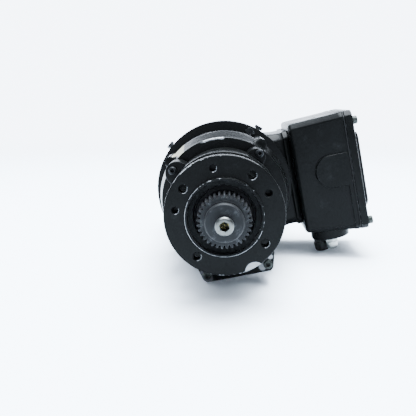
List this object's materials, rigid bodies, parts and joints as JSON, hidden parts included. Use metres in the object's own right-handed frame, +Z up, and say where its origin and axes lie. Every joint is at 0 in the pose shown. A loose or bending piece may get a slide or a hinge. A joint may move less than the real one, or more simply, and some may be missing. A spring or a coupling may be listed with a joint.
{
  "type": "planetary geared motor",
  "caption": "Foot-and-flange planetary geared motor: an output pinion on a planetary gearbox, driven by a fan-cooled electric motor with a cast terminal box.",
  "frame": {"origin": "middle of the whole unit's outline seen from above, on the surface that it lies on", "axes": "+Y along the shaft from the output flange to the motor's fan, +X to the terminal box's side, +Z up; the unit has rolled onto its cable gland and foot, as in use on a bench"},
  "size_m": [0.2794, 0.4442, 0.1899],
  "materials": {
    "black_paint": "gloss black machine enamel over cast iron, thin on the edges, chipped to bare metal on the flange, the pilot rim and the foot",
    "black_steel": "black-oxide steel screws, rubbed brighter on their corners",
    "ground_steel": "fine ground steel",
    "gear_steel": "hobbed and case-hardened steel, slightly oiled",
    "phosphated_steel": "dark grey phosphate, with light tooth tips and handling scratches",
    "plated_steel": "bright zinc and nickel plating with fine scratches",
    "laminations": "stacked electrical sheet",
    "winding": "varnished copper wire",
    "rubber": "matt black nitrile",
    "black_plastic": "moulded black polyamide",
    "moulding": "dark brown moulded thermoset"
  },
  "bodies": {
    "housing": {"output_housing": "black_paint", "ring_gear_housing": "black_paint", "motor_adapter": "black_paint", "stator_frame": "black_paint", "rear_end_shield": "black_paint", "fan_cowl": "black_paint", "terminal_box": "black_paint", "terminal_cover": "black_paint", "housing_screw_1": "black_steel", "housing_screw_2": "black_steel", "adapter_bolt_1": "black_steel", "adapter_bolt_2": "black_steel", "adapter_bolt_3": "black_steel", "adapter_bolt_4": "black_steel", "rim_bolt_1": "black_steel", "rim_bolt_2": "black_steel", "front_output_bearing": "ground_steel", "rear_output_bearing": "ground_steel", "front_motor_bearing": "ground_steel", "rear_motor_bearing": "ground_steel", "ring_gear": "gear_steel", "blanking_plug": "plated_steel", "foot_screw_1": "plated_steel", "foot_screw_2": "plated_steel", "cover_screw_1": "plated_steel", "cover_screw_2": "plated_steel", "cover_screw_3": "plated_steel", "cover_screw_4": "plated_steel", "stator_core": "laminations", "stator_winding": "winding", "output_seal": "rubber", "motor_shaft_seal": "rubber", "terminal_cover_gasket": "rubber", "cable_gland_seal": "rubber", "cable_gland_body": "black_plastic", "cable_gland_nut": "black_plastic", "terminal_block": "moulding"},
    "output": {"output_shaft": "ground_steel", "output_pinion": "phosphated_steel", "pinion_clamp_washer": "phosphated_steel", "screw_spacer": "plated_steel", "pinion_screw": "plated_steel", "second_planet_pin_1": "ground_steel", "second_planet_pin_2": "ground_steel", "second_planet_pin_3": "ground_steel"},
    "first_carrier": {"first_planet_carrier": "gear_steel", "second_sun_gear": "gear_steel", "first_planet_pin_1": "ground_steel", "first_planet_pin_2": "ground_steel", "first_planet_pin_3": "ground_steel"},
    "rotor": {"rotor_shaft": "ground_steel", "rotor_core": "laminations", "first_sun_gear": "gear_steel", "cooling_fan": "black_plastic"},
    "first_planet_1": {"first_planet_gear_1": "gear_steel"},
    "first_planet_2": {"first_planet_gear_2": "gear_steel"},
    "first_planet_3": {"first_planet_gear_3": "gear_steel"},
    "second_planet_1": {"second_planet_gear_1": "gear_steel"},
    "second_planet_2": {"second_planet_gear_2": "gear_steel"},
    "second_planet_3": {"second_planet_gear_3": "gear_steel"}
  },
  "joints": [
    {"name": "carrier_spin", "type": "hinge", "parent": "housing", "child": "first_carrier", "pos_m": [-0.05321, -0.07385, 0.08989], "axis": [0, -1, 0], "continuous": true},
    {"name": "output_spin", "type": "hinge", "parent": "housing", "child": "output", "pos_m": [-0.05321, -0.07385, 0.08989], "axis": [0, -1, 0], "continuous": true},
    {"name": "rotor_spin", "type": "hinge", "parent": "housing", "child": "rotor", "pos_m": [-0.05321, -0.07385, 0.08989], "axis": [0, -1, 0], "continuous": true},
    {"name": "first_planet_1_spin", "type": "hinge", "parent": "first_carrier", "child": "first_planet_1", "pos_m": [-0.02087, -0.03185, 0.09647], "axis": [0, -1, 0], "continuous": true},
    {"name": "second_planet_1_spin", "type": "hinge", "parent": "output", "child": "second_planet_1", "pos_m": [-0.02087, -0.06685, 0.09647], "axis": [0, -1, 0], "continuous": true},
    {"name": "first_planet_2_spin", "type": "hinge", "parent": "first_carrier", "child": "first_planet_2", "pos_m": [-0.07507, -0.03185, 0.11461], "axis": [0, -1, 0], "continuous": true},
    {"name": "second_planet_2_spin", "type": "hinge", "parent": "output", "child": "second_planet_2", "pos_m": [-0.07507, -0.06685, 0.11461], "axis": [0, -1, 0], "continuous": true},
    {"name": "first_planet_3_spin", "type": "hinge", "parent": "first_carrier", "child": "first_planet_3", "pos_m": [-0.06368, -0.03185, 0.0586], "axis": [0, -1, 0], "continuous": true},
    {"name": "second_planet_3_spin", "type": "hinge", "parent": "output", "child": "second_planet_3", "pos_m": [-0.06368, -0.06685, 0.0586], "axis": [0, -1, 0], "continuous": true}
  ],
  "couplings": [
    {"joint": "output_spin", "follows": "carrier_spin", "ratio": 0.18182},
    {"joint": "rotor_spin", "follows": "carrier_spin", "ratio": 5.5},
    {"joint": "first_planet_1_spin", "follows": "carrier_spin", "ratio": -2.5714},
    {"joint": "second_planet_1_spin", "follows": "carrier_spin", "ratio": -0.46753},
    {"joint": "first_planet_2_spin", "follows": "carrier_spin", "ratio": -2.5714},
    {"joint": "second_planet_2_spin", "follows": "carrier_spin", "ratio": -0.46753},
    {"joint": "first_planet_3_spin", "follows": "carrier_spin", "ratio": -2.5714},
    {"joint": "second_planet_3_spin", "follows": "carrier_spin", "ratio": -0.46753}
  ]
}
